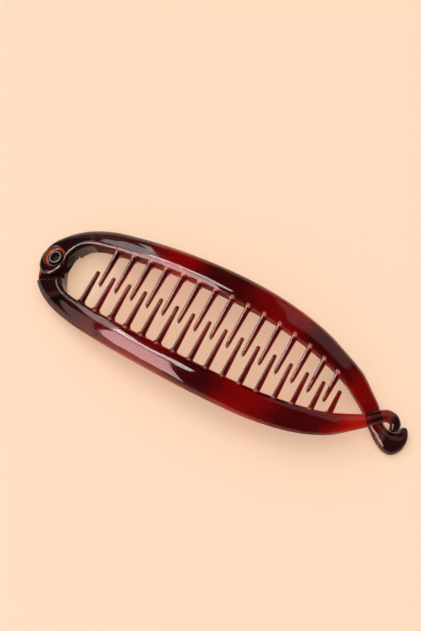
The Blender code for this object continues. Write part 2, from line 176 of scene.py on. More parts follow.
LOWER_ARM = (
    (-77.4, 1.9, -67.2, 1.9, 0.0, -7.6, -1.0, 2),
    (-77.5, -3.5, -66.9, -1.8, 0.0, -7.6, -1.0, 2),
    (-76.4, -7.3, -65.4, -4.9, 0.0, -7.7, -0.9, 2),
    (-73.9, -10.8, -63.6, -7.7, 0.0, -7.9, -0.6, 2),
    (-70.4, -13.9, -61.0, -9.8, 0.0, -8.1, -0.2, 2),
    (-64.9, -16.7, -57.2, -11.0, 0.0, -8.5, 0.0, 2),
    (-56.0, -19.2, -51.5, -11.7, 0.0, -8.9, 0.0, 3),
    (-45.0, -20.8, -42.5, -12.6, 0.0, -9.1, 0.0, 3),
    (-30.0, -22.2, -28.5, -13.35, 0.0, -9.1, 0.0, 3),
    (-12.0, -23.1, -11.5, -13.75, 0.0, -8.9, 0.0, 3),
    (4.0, -23.3, 4.0, -13.6, 0.0, -8.5, 0.0, 3),
    (20.0, -22.6, 18.5, -12.7, 0.0, -7.8, 0.0, 3),
    (33.0, -20.6, 30.5, -11.0, 0.0, -7.0, 0.0, 3),
    (43.5, -17.5, 39.5, -9.0, 0.0, -6.0, 0.1, 3),
    (51.8, -13.3, 47.2, -6.6, 0.0, -4.9, 0.3, 2),
    (57.6, -8.5, 54.0, -3.2, 0.0, -4.0, 0.6, 2),
    (62.1, -4.4, 59.2, -0.3, 0.0, -3.7, 0.9, 2),
    (64.6, -1.8, 61.7, 1.9, 0.0, -3.7, 1.0, 2),
    (66.6, 0.3, 64.3, 4.4, 0.0, -3.7, 1.0, 2),
    (68.4, 1.6, 67.5, 6.1, 0.0, -3.7, 1.0, 2),
    (69.8, 1.8, 71.0, 5.9, 0.0, -3.7, 1.0, 2),
    (70.3, 1.5, 73.5, 3.9, -0.1, -3.8, 1.0, 2),
    (70.5, 0.9, 74.1, 2.2, -0.5, -4.0, 1.0, 2),
    (70.8, 0.3, 74.0, 0.9, -1.0, -4.2, 1.0, 1),
    (71.3, 0.05, 73.5, 0.4, -1.5, -4.1, 1.0, 1),
    (72.2, -0.05, 72.7, 0.1, -2.6, -3.1, 1.0, 0),
)

# Tortoiseshell: near-black shell with crimson patches, dyed through.
PLASTIC_IOR = 1.5
SHELL_DARK = (0.2, 0.06, 0.04)
SHELL_TOOTH = (0.14, 0.012, 0.01)
# Painted shade: the thick hinge and clasp are painted near-black.
SHELL_PAINTED_SHADE = (0.02, 0.003, 0.002)  # thick ends, where no light comes through
SHELL_CLEAR = (0.95, 0.5, 0.35)
SHELL_GLOW = (0.75, 0.11, 0.03)     # light that the plastic carries to its edges
# How much light passes where the painted shade lies.
PAINTED_SHADE_TRANSMISSION = 0.3
GLOW_TRANSMISSION = 0.3
FULL_GLOW = 0.5                     # from this much glow on, GLOW_TRANSMISSION applies
DYE_COLOUR = (0.9, 0.35, 0.0)
DYE_DENSITY = 1500.0

# Patches: place along X, half-length and strength. Clouds push their borders to and fro.
UPPER_PATCHES = ((-27.0, 10.0, 1.0), (17.0, 11.0, 0.75), (54.0, 7.0, 0.45))
LOWER_PATCHES = ((-28.0, 16.0, 0.8), (17.0, 11.0, 0.85), (57.0, 7.0, 0.9))
UPPER_SEED = 0.3
LOWER_SEED = 4.1
PATCH_EDGE = (1.6, 0.2)             # where a patch begins and where it is full, in half-lengths
CLOUD_SCALE = 100.0
CLOUD_STRETCH = (0.45, 1.0, 1.0)
CLOUD_DETAIL = 3.0
CLOUD_DISTORTION = 0.6
CLOUD_DRIFT = 34.0

# Parts of a half. A pair says where a part begins and where it is full, along X or past an edge of the arm.
INNER_EDGE_S = (-66.15, 58.0)       # stretch of the arch where each edge is followed
OUTER_EDGE_S = (-76.3, 62.0)
EDGE_LEAST_Y = 0.5
CURVE_SPAN = 160.0                  # what the node's curve of an edge covers along X and across
CURVE_REACH = 30.0
# Painted glow: the shell is painted clearer along the comb's opening, for the light that comes through the
# thin rim.
INNER_RIM_GLOW_EDGE = (1.3, 0.0)
INNER_RIM_PAINTED_GLOW = 0.9
ARM_START = (-0.8, 0.2)
TOOTH_START = (0.2, -0.8)
TOOTH_CLEARNESS = 0.2               # of the arms' own
# Painted shade at the clasp and the hinge, along X and from the hinge's axis.
CLASP_PAINTED_SHADE = (65.0, 69.0)
HINGE_PAINTED_SHADE = (-46.0, -56.0)
HINGE_PAINTED_SHADE_REACH = (18.0, 14.0)          # from the hinge's axis

# Glowing edges. A triple is a span and the soft distance at both its ends.
FOOT_GLOW = 0.85                    # the lower arm's outer foot
FOOT_GLOW_EDGE = (-1.8, -0.8)
FOOT_GLOW_LEVEL = (-3.5, -5.5)
FOOT_GLOW_SPAN = (-62.0, 28.0, 14.0)
EAR_GLOW = 0.55                     # the lower ear's floor
EAR_GLOW_SPAN = (-80.0, -73.0, 1.0)
EAR_GLOW_LEVEL = (LAP_LEVEL - 0.5, LAP_LEVEL + 0.3, 0.2)
BORE_GLOW = 0.6                     # the counterbore
BORE_GLOW_RING = (3.5, 3.9, 0.5)
BORE_GLOW_LEVEL = (-1.7, -0.4, 0.2)
UPPER_ROOT_GLOW = 0.55              # the teeth's roots
LOWER_ROOT_GLOW = 0.275
ROOT_GLOW_WIDTH = (0.95, 0.35)
ROOT_GLOW_EDGE = (-0.1, 0.7, 0.4)
ROOT_GLOW_SPAN = (-46.0, 44.0, 4.0)

# Surface of the plastic.
WAVE_SCALE = 70.0
WAVE_STRETCH = (0.8, 2.2, 1.0)
WAVE_DETAIL = 1.0
WAVE_HEIGHT = 0.5
GLOSS_SCALE = 350.0
GLOSS_DETAIL = 4.0
ROUGHNESS = (0.02, 0.10)
WALL_ROUGHNESS = 1.0                # the arms' walls are less polished than their tops
WALL_TILT = (0.45, 0.2)             # upward share of the normal where a wall begins and where it is full
INNER_WALL = (-0.2, 3.0, 0.1)
OUTER_WALL = (-1.5, 3.0, 0.5)

STEEL = (0.16, 0.16, 0.155)
STEEL_WEAR_SCALE = 900.0
STEEL_ROUGHNESS = (0.16, 0.34)
# Painted shade: near-black in the bore and below the rolled head.
BORE_PAINTED_SHADE = (0.01, 0.01, 0.01)
BORE_SHADE_EDGE = (0.5, 0.75)            # over the counterbore's floor

# Camera, fitted to the photograph's outline of the clip.
IMAGE_LONG_SIDE = 631
SENSOR = 36.0
CAMERA_ELEVATION = math.radians(72.86)
CAMERA_TURN = math.radians(27.95)
CAMERA_DISTANCE = 691.0
CAMERA_FOCAL_PX = 1900.0
CAMERA_RIGHT = 57.82
CAMERA_DOWN = 25.17
CAMERA_AIM_X = -70.0
CAMERA_NEAR = 10.0

# Studio. A panel spans the sky from one direction to another, in degrees from the zenith along +X and +Y,
# and has a width in degrees, a radiance and a colour.
PANEL_DISTANCE = 4.0                # metres
PANELS = (
    ("window_top", (-22.5, -5), (-20.5, 9), 21, 12.5, (1.0, 0.86, 0.84)),
    ("window_low", (-24.5, -78), (-23, -10), 21, 10.5, (1.0, 0.62, 0.6)),
    ("window_side", (-46, -75), (-44, -10), 16, 1.3, (1.0, 0.85, 0.8)),
    ("upper_panel", (-31, -4), (-38, 35), 13, 3.8, (1.0, 0.95, 0.92)),
    ("upper_strip", (-33, 32), (-38, 54), 3, 5.0, (1.0, 0.95, 0.92)),
    ("right_wall", (20, 16), (20, 80), 32, 0.5, (1.0, 0.9, 0.88)),
    ("left_wall", (-54, 28), (-54, 77), 22, 0.25, (1.0, 0.9, 0.88)),
)
KEY = ((-42, 2), (-38, 26), 26, 1.7, (0.9, 1.0, 1.1))
FILL = ((0, -25), (0, 25), 50, 2.9, (1.1, 0.99, 0.85))
ROOM_LIGHT = 0.33
ROOM_COLOUR = (0.85, 1.0, 1.2)
ROOM_GLOSS = 0.05                   # the room's dark walls and ceiling, as the gloss mirrors them
TABLE_COLOUR = (0.97, 0.69, 0.5)
TABLE_ROUGHNESS = 0.6
TABLE_HALF_SIZE = 3.0               # metres


def world(x, y, z):
    """World position in metres of a point measured from the arch's top, over the floor."""
    return Vector((x + SHIFT_X, y + SHIFT_Y, z)) * MM


def place(s, y, h):
    """World position of a point s along the arch, y across it and h above its circle."""
    angle = s / ARCH_RADIUS
    radius = ARCH_RADIUS + h
    return world(radius * math.sin(angle), y, CREST_HEIGHT + radius * math.cos(angle) - ARCH_RADIUS)


def smooth_rows(rows):
    """Rows of a station table read along a smooth curve."""
    values = [row[:-1] for row in rows]
    middles = [Vector(((v[0] + v[2]) / 2, (v[1] + v[3]) / 2)) for v in values]
    knots = [0.0]
    for a, b in zip(middles, middles[1:]):
        knots.append(knots[-1] + (b - a).length)

    def slope(i, c):
        low = max(i - 1, 0)
        high = min(i + 1, len(values) - 1)
        return (values[high][c] - values[low][c]) / (knots[high] - knots[low])

    made = []
    for i, row in enumerate(rows[:-1]):
        span = knots[i + 1] - knots[i]
        steps = row[-1] * STATION_STEPS
        for k in range(steps):
            t = k / steps
            point = []
            for c in range(len(values[0])):
                p0, p1 = values[i][c], values[i + 1][c]
                m0, m1 = slope(i, c) * span, slope(i + 1, c) * span
                point.append(
                    p0 * (2 * t**3 - 3 * t**2 + 1) + m0 * (t**3 - 2 * t**2 + t)
                    + p1 * (3 * t**2 - 2 * t**3) + m1 * (t**3 - t**2)
                )
            made.append(dict(zip(COLUMNS, point)))
    made.append(dict(zip(COLUMNS, values[-1])))
    return made


def quarter(steps):
    """Share across and share down along a quarter of an ellipse, from its side to its top."""
    for k in range(steps + 1):
        angle = math.pi / 2 * k / steps
        yield 1 - math.cos(angle), 1 - math.sin(angle)


def form_of(value):
    """Section shape for a form value between the ear's, the arm's and the hook's."""
    other = HOOK_SECTION if value > 0 else EAR_SECTION
    mix = min(abs(value), 1.0)
    return {key: ARM_SECTION[key] * (1 - mix) + other[key] * mix for key in ARM_SECTION}


def section(row):
    """World points of one section of an arm, from the inner wall over the crest to the underside."""
    form = form_of(row["form"])
    depth = row["top"] - row["bottom"]
    width = math.hypot(row["s_out"] - row["s_in"], row["y_out"] - row["y_in"])
    drafted = 1 - min(abs(row["form"]), 1.0)
    inner_foot = INNER_SETBACK * drafted / width
    outer_foot = 1 - OUTER_DRAFT * drafted / width
    outline = []
    for across, down in quarter(INNER_STEPS):
        outline.append((form["from"] * across, form["inner"] * down))
    for across, down in reversed(list(quarter(OUTER_STEPS))):
        outline.append((1 - (1 - form["to"]) * across, form["outer"] * down))
    for across, down in quarter(LOWER_STEPS):
        outline.append((outer_foot - form["lower"] * across, 1 - form["lower"] * down))
    for across, down in reversed(list(quarter(LOWER_STEPS))):
        outline.append((inner_foot + form["lower"] * across, 1 - form["lower"] * down))
    points = []
    for u, d in outline:
        s = row["s_in"] + (row["s_out"] - row["s_in"]) * u
        y = row["y_in"] + (row["y_out"] - row["y_in"]) * u
        points.append(place(s, y, row["top"] - depth * d))
    return points


def new_object(name, bm):
    """Object with the mesh built in bm, in metres."""
    bmesh.ops.recalc_face_normals(bm, faces=bm.faces)
    mesh = bpy.data.meshes.new(name)
    bm.to_mesh(mesh)
    bm.free()
    made = bpy.data.objects.new(name, mesh)
    bpy.context.scene.collection.objects.link(made)
    return made


def fill_loft(bm, rings):
    """Adds a closed solid through rings of points, capped at both ends."""
    loops = [[bm.verts.new(p) for p in ring] for ring in rings]
    count = len(loops[0])
    for a, b in zip(loops, loops[1:]):
        for k in range(count):
            bm.faces.new((a[k], a[(k + 1) % count], b[(k + 1) % count], b[k]))
    bm.faces.new(loops[0])
    bm.faces.new(loops[-1])


def loft(name, *solids):
    """One object of one or more solids, each given as its rings."""
    bm = bmesh.new()
    for rings in solids:
        fill_loft(bm, rings)
    return new_object(name, bm)


def hinge_matrix():
    """Frame on the arch circle at the hinge, whose Z is the pin's axis, square to the arch."""
    return Matrix.Translation(place(HINGE_S, HINGE_Y, 0)) @ Matrix.Rotation(HINGE_S / ARCH_RADIUS, 4, "Y")


def hinge_ring(radius, level, centre=(0.0, 0.0), run=0.0):
    """World points of a circle square to the arch at the hinge.

    The centre is relative to the rivet, and run stretches the half that faces STEP_RUN_ANGLE.
    """
    turn = math.radians(STEP_RUN_ANGLE)
    points = []
    for k in range(ROUND_SIDES):
        angle = 2 * math.pi * (k + 0.5) / ROUND_SIDES + turn
        x, y = centre[0] + radius * math.cos(angle), centre[1] + radius * math.sin(angle)
        if run and math.cos(angle - turn) > 0:
            x, y = x + run * math.cos(turn), y + run * math.sin(turn)
        points.append(hinge_matrix() @ (Vector((x, y, level)) * MM))
    return points


def disc(name, levels, centre=(0.0, 0.0), run=0.0):
    """Round solid at the hinge through pairs of radius and level."""
    return loft(name, [hinge_ring(radius, level, centre, run) for radius, level in levels])


def rounded_rim(radius, rim, top):
    """Pairs of radius and level down a rounded upper edge."""
    return [(radius - rim * across, top - rim * down) for across, down in quarter(INNER_STEPS)]


def combine(target, tool, operation):
    """Applies a Boolean of the tool to the target and removes the tool."""
    bpy.context.view_layer.update()
    modifier = target.modifiers.new(operation, "BOOLEAN")
    modifier.operation = operation
    modifier.solver = "EXACT"
    modifier.object = tool
    apply_modifiers(target)
    bpy.data.objects.remove(tool)


def apply_modifiers(target):
    """Replaces an object's mesh with what its modifiers make of it."""
    depsgraph = bpy.context.evaluated_depsgraph_get()
    mesh = bpy.data.meshes.new_from_object(target.evaluated_get(depsgraph))
    target.modifiers.clear()
    target.data = mesh


def root_y(x):
    """Half the width of the comb's opening at x, where the teeth leave the arms."""
    t = x / ROOT_UNIT
    a, b, c, d, e = ROOT_CURVE
    return a + b * t + c * t**2 + d * t**3 + e * t**4


def arch_drop(x):
    """Height of the arch circle at x against its crest."""
    return math.sqrt(ARCH_RADIUS**2 - x**2) - ARCH_RADIUS


def underside_at(table, x):
    """Underside of an arm below the arch circle, where its inner edge passes x."""
    for a, b in zip(table, table[1:]):
        start, end = a[COLUMNS.index("s_in")], b[COLUMNS.index("s_in")]
        if start <= x < end:
            low, high = a[COLUMNS.index("bottom")], b[COLUMNS.index("bottom")]
            return low + (high - low) * (x - start) / (end - start)


def crown(facet, power, left, right):
    """Top of a tooth from its -X side over its ridge: offset along X and height against the ridge."""
    points = [(left * share, -facet - fall) for share, fall in CORNER]
    points += [(-left * share, -facet * (share / FACET_EDGE) ** power) for share in FACET_SHARES]
    slope = right * TOOTH_SLOPE
    return points + [(right * share, -slope * drop) for share, drop in SLOPE_SHARES]


def tooth_stations(length):
    """Distance from the root, share of the width and flare of the fillet, from root to tip."""
    half = TOOTH_THICKNESS / 2
    stations = [(-TOOTH_EMBED, 1.0, TOOTH_FILLET)]
    for across, down in quarter(TOOTH_ROUND_STEPS):
        stations.append((TOOTH_FILLET * across, 1.0, TOOTH_FILLET * down))
    for share in TOOTH_STATIONS:
        stations.append((length * share, 1.0, 0.0))
    for k in range(1, TOOTH_ROUND_STEPS):
        angle = math.pi / 2 * k / TOOTH_ROUND_STEPS
        stations.append((length - half * (1 - math.sin(angle)), math.cos(angle), 0.0))
    return stations


def tooth_rings(table, x, side):
    """Rings of one blade: upright, round-topped, deepest at its root, where it widens in a fillet."""
    root = root_y(x)
    room = TOOTH_TOP_AT_ROOT - TOOTH_COVER - underside_at(table, x)
    root_depth = min(TOOTH_ROOT_DEPTH, room)
    tip = -(TIP_PAST_MIDDLE + TIP_PAST_MIDDLE_SLOPE * x)
    length = root - tip
    half = TOOTH_THICKNESS / 2
    facet, power = UPPER_FACET if side > 0 else LOWER_FACET
    rings = []
    for along, narrow, flare in tooth_stations(length):
        t = along / length
        reach = max(t, 0.0)
        y = root - along
        top = TOOTH_TOP_AT_ROOT + (TOOTH_TOP_AT_TIP - TOOTH_TOP_AT_ROOT) * reach
        top -= (1 - narrow) * half
        depth = TOOTH_TIP_DEPTH + (root_depth - TOOTH_TIP_DEPTH) * (1 - reach) ** TOOTH_DEPTH_POWER
        z = CREST_HEIGHT + arch_drop(x) + top
        left = half * narrow + flare
        right = (half + TOOTH_SPREAD * (1 - reach)) * narrow + flare
        ring = [(dx, z + level * narrow) for dx, level in crown(facet, power, left, right)]
        ring += [(right - TOOTH_UNDERCUT * depth * narrow, z - depth), (-left, z - depth)]
        rings.append([world(x + dx, y * side, dz) for dx, dz in ring])
    return rings


def shade(piece):
    """Smooth shading with sharp creases."""
    piece.data.shade_smooth()
    piece.data.set_sharp_from_angle(angle=SHARP_ANGLE)


def set_teeth(half, table, side, teeth, first_x):
    """Joins a row of teeth to a finished arm."""
    blades = [tooth_rings(table, first_x + TOOTH_PITCH * k, side) for k in range(teeth)]
    combine(half, loft("teeth", *blades), "UNION")
    shade(half)


def soften(half):
    """Remeshes a moulding finely and smooths it, and keeps its feet flat on the floor."""
    remesh = half.modifiers.new("remesh", "REMESH")
    remesh.mode = "VOXEL"
    remesh.voxel_size = VOXEL * MM
    smooth = half.modifiers.new("smooth", "SMOOTH")
    smooth.factor = 0.5
    smooth.iterations = SOFTEN_STEPS
    apply_modifiers(half)
    for vertex in half.data.vertices:
        vertex.co.z = max(vertex.co.z, 0.0)


def make_upper():
    """Upper half: its ear with the counterbore lies above the lap level."""
    half = loft("upper_moulding", [section(row) for row in smooth_rows(UPPER_ARM)])
    underside = LAP_LEVEL + LAP_GAP / 2
    below = -DEPTH_AT_HINGE - CUT_BELOW
    ear = [hinge_ring(UPPER_EAR_FOOT_RADIUS, underside - 1), hinge_ring(UPPER_EAR_FOOT_RADIUS, underside)]
    for radius, level in rounded_rim(UPPER_EAR_RADIUS, EAR_RIM, 0.0):
        ear.append(hinge_ring(radius, level, (0.0, UPPER_EAR_SHIFT)))
    combine(half, loft("ear", ear), "UNION")
    pocket = [(UPPER_POCKET_RADIUS, below), (UPPER_POCKET_RADIUS, underside)]
    combine(half, disc("pocket", pocket), "DIFFERENCE")
    mouth = COUNTERBORE_RADIUS + COUNTERBORE_BEVEL
    bore = [(COUNTERBORE_RADIUS, -COUNTERBORE_DEPTH), (COUNTERBORE_RADIUS, -COUNTERBORE_BEVEL)]
    combine(half, disc("counterbore", bore + [(mouth, 0.0), (mouth, CUT_ABOVE)]), "DIFFERENCE")
    hole = [(RIVET_HOLE_RADIUS, below), (RIVET_HOLE_RADIUS, CUT_ABOVE)]
    combine(half, disc("hole", hole), "DIFFERENCE")
    soften(half)
    set_teeth(half, UPPER_ARM, 1, UPPER_TEETH, FIRST_UPPER_TOOTH_X)
    return half


def make_lower():
    """Lower half: its ear lies below the lap level, in front of a step that clears the upper ear."""
    half = loft("lower_moulding", [section(row) for row in smooth_rows(LOWER_ARM)])
    floor = LAP_LEVEL - LAP_GAP / 2
    below = -DEPTH_AT_HINGE - CUT_BELOW
    ear = disc("ear", [(LOWER_EAR_RADIUS, -DEPTH_AT_HINGE), (LOWER_EAR_RADIUS, floor)])
    opening = (OPENING_S - HINGE_S, OPENING_Y - HINGE_Y)
    mouth = [(OPENING_RADIUS, below), (OPENING_RADIUS, CUT_ABOVE)]
    combine(ear, disc("opening", mouth, opening), "DIFFERENCE")
    combine(half, ear, "UNION")
    step = disc("step", [(STEP_FOOT_RADIUS, floor), (STEP_TOP_RADIUS, CUT_ABOVE)], run=STEP_RUN)
    combine(half, step, "DIFFERENCE")
    recess = [(FOOT_RECESS_RADIUS, below), (FOOT_RECESS_RADIUS, -DEPTH_AT_HINGE + FOOT_RECESS_DEPTH)]
    combine(half, disc("recess", recess), "DIFFERENCE")
    combine(half, disc("hole", [(RIVET_HOLE_RADIUS, below), (RIVET_HOLE_RADIUS, 0.0)]), "DIFFERENCE")
    soften(half)
    set_teeth(half, LOWER_ARM, -1, LOWER_TEETH, FIRST_UPPER_TOOTH_X + LOWER_ROW_SHIFT)
    return half


def make_rivet():
    """Tubular rivet with a rolled head and a flared foot."""
    head = -COUNTERBORE_DEPTH + LAP_GAP
    foot = -DEPTH_AT_HINGE + FOOT_RECESS_DEPTH - LAP_GAP
    profile = [
        (RIVET_BORE_RADIUS, foot - RIVET_FOOT_HEIGHT),
        (RIVET_FOOT_RADIUS - RIVET_FOOT_BEVEL, foot - RIVET_FOOT_HEIGHT),
        (RIVET_FOOT_RADIUS, foot - RIVET_FOOT_HEIGHT + RIVET_FOOT_BEVEL),
        (RIVET_FOOT_RADIUS, foot),
        (RIVET_SHANK_RADIUS, foot),
        (RIVET_SHANK_RADIUS, head),
        (RIVET_HEAD_RADIUS, head),
    ]
    middle = (RIVET_HEAD_RADIUS + RIVET_BORE_RADIUS) / 2
    roll = (RIVET_HEAD_RADIUS - RIVET_BORE_RADIUS) / 2
    for k in range(RIVET_ROLL_STEPS + 1):
        angle = math.pi * k / RIVET_ROLL_STEPS
        level = head + (RIVET_HEAD_HEIGHT - roll) + roll * math.sin(angle)
        profile.append((middle + roll * math.cos(angle), level))
    bm = bmesh.new()
    rings = []
    for k in range(ROUND_SIDES):
        angle = 2 * math.pi * k / ROUND_SIDES
        ring = [Vector((r * math.cos(angle), r * math.sin(angle), h)) * MM for r, h in profile]
        rings.append([bm.verts.new(hinge_matrix() @ p) for p in ring])
    count = len(profile)
    for k in range(ROUND_SIDES):
        a, b = rings[k], rings[(k + 1) % ROUND_SIDES]
        for i in range(count):
            bm.faces.new((a[i], b[i], b[(i + 1) % count], a[(i + 1) % count]))
    made = new_object("rivet", bm)
    shade(made)
    return made


def chain(nodes, links, first, *steps):
    """Adds maths nodes one after another, each fed by the one before, and returns the last output."""
    out = first
    for operation, value in steps:
        node = nodes.new("ShaderNodeMath")
        node.operation = operation
        node.inputs[1].default_value = value
        links.new(out, node.inputs[0])
        out = node.outputs[0]
    return out


def joined(nodes, links, operation, first, second):
    """Output of a maths node fed by two others."""
    node = nodes.new("ShaderNodeMath")
    node.operation = operation
    links.new(first, node.inputs[0])
    links.new(second, node.inputs[1])
    return node.outputs[0]


def step_between(nodes, links, value, start, end, low, high):
    """Smooth step from low at start to high at end."""
    node = nodes.new("ShaderNodeMapRange")
    node.interpolation_type = "SMOOTHSTEP"
    node.inputs["From Min"].default_value = start
    node.inputs["From Max"].default_value = end
    node.inputs["To Min"].default_value = low
    node.inputs["To Max"].default_value = high
    links.new(value, node.inputs["Value"])
    return node.outputs["Result"]


def fade(nodes, links, value, limits, full=1.0, rest=0.0):
    """Rises smoothly from rest to full as a length in metres goes between two limits in millimetres."""
    return step_between(nodes, links, value, limits[0] * MM, limits[1] * MM, rest, full)


def arm_edge(table, s_name, y_name, limits):
    """Pairs of s and distance from the middle line along one edge of an arm, between two places."""
    s_column, y_column = COLUMNS.index(s_name), COLUMNS.index(y_name)
    side = math.copysign(1, table[len(table) // 2][y_column])
    rows = [(row[s_column], row[y_column] * side) for row in table]
    return [(s, y) for s, y in rows if y > EDGE_LEAST_Y and limits[0] < s < limits[1]]


def within(nodes, links, value, low, high, soft):
    """1 where a length in metres lies between low and high, fading out over a soft distance, all in mm."""
    middle, half = (low + high) / 2, (high - low) / 2
    away = chain(nodes, links, value, ("SUBTRACT", middle * MM), ("ABSOLUTE", 0))
    return step_between(nodes, links, away, (half + soft) * MM, half * MM, 0.0, 1.0)


def hinge_reach(nodes, links, where):
    """Distance from the hinge's axis, and level along it over the arch circle, in metres."""
    frame_at_hinge = hinge_matrix()
    offset = nodes.new("ShaderNodeVectorMath")
    offset.operation = "SUBTRACT"
    offset.inputs[1].default_value = frame_at_hinge.translation
    links.new(where, offset.inputs[0])
    made = []
    for operation, output in (("CROSS_PRODUCT", "Vector"), ("DOT_PRODUCT", "Value")):
        node = nodes.new("ShaderNodeVectorMath")
        node.operation = operation
        node.inputs[1].default_value = frame_at_hinge.col[2][:3]
        links.new(offset.outputs["Vector"], node.inputs[0])
        made.append(node.outputs[output])
    length = nodes.new("ShaderNodeVectorMath")
    length.operation = "LENGTH"
    links.new(made[0], length.inputs[0])
    return length.outputs["Value"], made[1]


def arch_level(nodes, links, where):
    """Height over the arch circle, in metres, negative below it."""
    out = where
    centre = world(0.0, 0.0, CREST_HEIGHT - ARCH_RADIUS)
    for operation, value in (("SUBTRACT", centre), ("MULTIPLY", (1.0, 0.0, 1.0))):
        node = nodes.new("ShaderNodeVectorMath")
        node.operation = operation
        node.inputs[1].default_value = value
        links.new(out, node.inputs[0])
        out = node.outputs["Vector"]
    length = nodes.new("ShaderNodeVectorMath")
    length.operation = "LENGTH"
    links.new(out, length.inputs[0])
    return chain(nodes, links, length.outputs["Value"], ("SUBTRACT", ARCH_RADIUS * MM))


def mixed(nodes, links, factor, first, second):
    """Colour between two: each is a colour or a node's output."""
    node = nodes.new("ShaderNodeMix")
    node.data_type = "RGBA"
    links.new(factor, node.inputs["Factor"])
    for socket, colour in ((node.inputs["A"], first), (node.inputs["B"], second)):
        if isinstance(colour, tuple):
            socket.default_value = (*colour, 1)
        else:
            links.new(colour, socket)
    return node.outputs["Result"]


def edge_distance(nodes, links, along, across, points):
    """How far a place is outside an edge of the arm, in metres.

    The place is given by its X and its distance to the middle line.
    """
    share = chain(
        nodes, links, along, ("SUBTRACT", SHIFT_X * MM), ("DIVIDE", CURVE_SPAN * MM), ("ADD", 0.5))
    curve = nodes.new("ShaderNodeFloatCurve")
    line = curve.mapping.curves[0]
    flat = [(ARCH_RADIUS * math.sin(s / ARCH_RADIUS) / CURVE_SPAN + 0.5, y / CURVE_REACH) for s, y in points]
    line.points[0].location = flat[0]
    line.points[1].location = flat[-1]
    for x, y in flat[1:-1]:
        line.points.new(x, y)
    curve.mapping.update()
    links.new(share, curve.inputs["Value"])
    edge = chain(nodes, links, curve.outputs["Value"], ("MULTIPLY", CURVE_REACH * MM))
    return joined(nodes, links, "SUBTRACT", across, edge)


def stretched(nodes, links, where, scale):
    """Coordinates scaled along each axis."""
    node = nodes.new("ShaderNodeMapping")
    node.inputs["Scale"].default_value = scale
    links.new(where, node.inputs["Vector"])
    return node.outputs["Vector"]


def noise(nodes, links, where, scale, detail):
    """Noise node that reads the given coordinates."""
    node = nodes.new("ShaderNodeTexNoise")
    node.inputs["Scale"].default_value = scale
    node.inputs["Detail"].default_value = detail
    links.new(where, node.inputs["Vector"])
    return node


def spread(nodes, links, value, limits):
    """Stretches a share from 0 to 1 between two limits."""
    node = nodes.new("ShaderNodeMapRange")
    node.inputs["To Min"].default_value = limits[0]
    node.inputs["To Max"].default_value = limits[1]
    links.new(value, node.inputs["Value"])
    return node.outputs["Result"]


def patch_clearness(nodes, links, where, x, patches, seed):
    """How clear the plastic is along the clip."""
    swirl = noise(nodes, links, stretched(nodes, links, where, CLOUD_STRETCH), CLOUD_SCALE, CLOUD_DETAIL)
    swirl.noise_dimensions = "4D"
    swirl.inputs["W"].default_value = seed
    swirl.inputs["Distortion"].default_value = CLOUD_DISTORTION
    drift = chain(nodes, links, swirl.outputs["Fac"], ("SUBTRACT", 0.5), ("MULTIPLY", CLOUD_DRIFT * MM))
    moved = joined(nodes, links, "ADD", x, drift)
    clear = None
    for middle, half, strength in patches:
        away = chain(
            nodes, links, moved, ("SUBTRACT", middle * MM), ("DIVIDE", half * MM), ("ABSOLUTE", 0))
        patch = step_between(nodes, links, away, *PATCH_EDGE, 0.0, strength)
        clear = patch if clear is None else joined(nodes, links, "MAXIMUM", clear, patch)
    return clear


def lower_glow(nodes, links, where, x, outside_edge, level):
    """Light at the lower arm's outer foot and on the lower ear's floor."""
    foot = fade(nodes, links, outside_edge, FOOT_GLOW_EDGE, FOOT_GLOW)
    low = fade(nodes, links, arch_level(nodes, links, where), FOOT_GLOW_LEVEL)
    foot = joined(nodes, links, "MULTIPLY", foot, low)
    foot = joined(nodes, links, "MULTIPLY", foot, within(nodes, links, x, *FOOT_GLOW_SPAN))
    along = within(nodes, links, x, *EAR_GLOW_SPAN)
    ear = joined(nodes, links, "MULTIPLY", along, within(nodes, links, level, *EAR_GLOW_LEVEL))
    return joined(nodes, links, "MAXIMUM", foot, chain(nodes, links, ear, ("MULTIPLY", EAR_GLOW)))


def bore_glow(nodes, links, reach, level):
    """Light in the counterbore's wall."""
    ring = within(nodes, links, reach, *BORE_GLOW_RING)
    wall = joined(nodes, links, "MULTIPLY", ring, within(nodes, links, level, *BORE_GLOW_LEVEL))
    return chain(nodes, links, wall, ("MULTIPLY", BORE_GLOW))


def root_glow(nodes, links, x, inside_edge, first_x, share):
    """Light where the teeth leave the arm."""
    from_tooth = chain(
        nodes, links, x, ("SUBTRACT", (first_x + SHIFT_X) * MM), ("DIVIDE", TOOTH_PITCH * MM), ("ADD", 0.5),
        ("FRACT", 0), ("SUBTRACT", 0.5), ("ABSOLUTE", 0), ("MULTIPLY", TOOTH_PITCH * MM))
    glow = fade(nodes, links, from_tooth, ROOT_GLOW_WIDTH, share)
    for value, span in ((inside_edge, ROOT_GLOW_EDGE), (x, ROOT_GLOW_SPAN)):
        glow = joined(nodes, links, "MULTIPLY", glow, within(nodes, links, value, *span))
    return glow


def wavy_normal(nodes, links, where):
    """Moulded surfaces are a little wavy."""
    wave = noise(nodes, links, stretched(nodes, links, where, WAVE_STRETCH), WAVE_SCALE, WAVE_DETAIL)
    bump = nodes.new("ShaderNodeBump")
    bump.inputs["Strength"].default_value = 1.0
    bump.inputs["Distance"].default_value = WAVE_HEIGHT * MM
    links.new(wave.outputs["Fac"], bump.inputs["Height"])
    return bump.outputs["Normal"]


